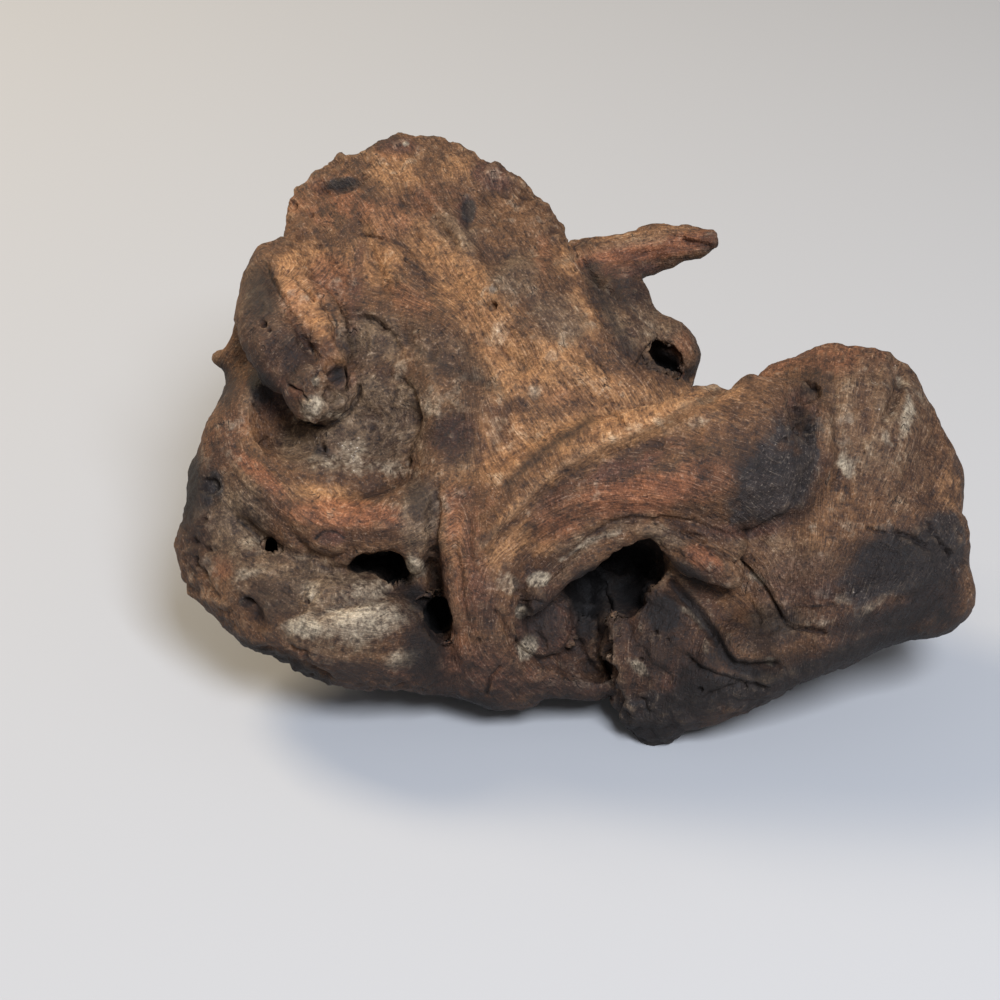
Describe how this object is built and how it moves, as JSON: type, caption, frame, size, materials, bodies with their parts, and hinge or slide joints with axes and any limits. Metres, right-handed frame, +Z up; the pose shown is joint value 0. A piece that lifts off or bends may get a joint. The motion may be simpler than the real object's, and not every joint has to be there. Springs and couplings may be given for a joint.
{
  "type": "aquarium driftwood",
  "caption": "Weathered root crown with a leaning crest, a bowl, an arched cave, an arm to a broad block and a broken branch; sits in a tank as decor and shelter.",
  "frame": {"origin": "middle of the bounding box, on the plane that the three feet rest on", "axes": "+X along the long way, from the bowl towards the ribbed block; -Y is the front with the cave; +Z up"},
  "size_m": [0.2394, 0.1444, 0.1408],
  "materials": {
    "wood": "weathered, dry, fibrous grain, charcoal and pale mineral patches"
  },
  "bodies": {
    "root": {"driftwood": "wood"}
  },
  "joints": []
}
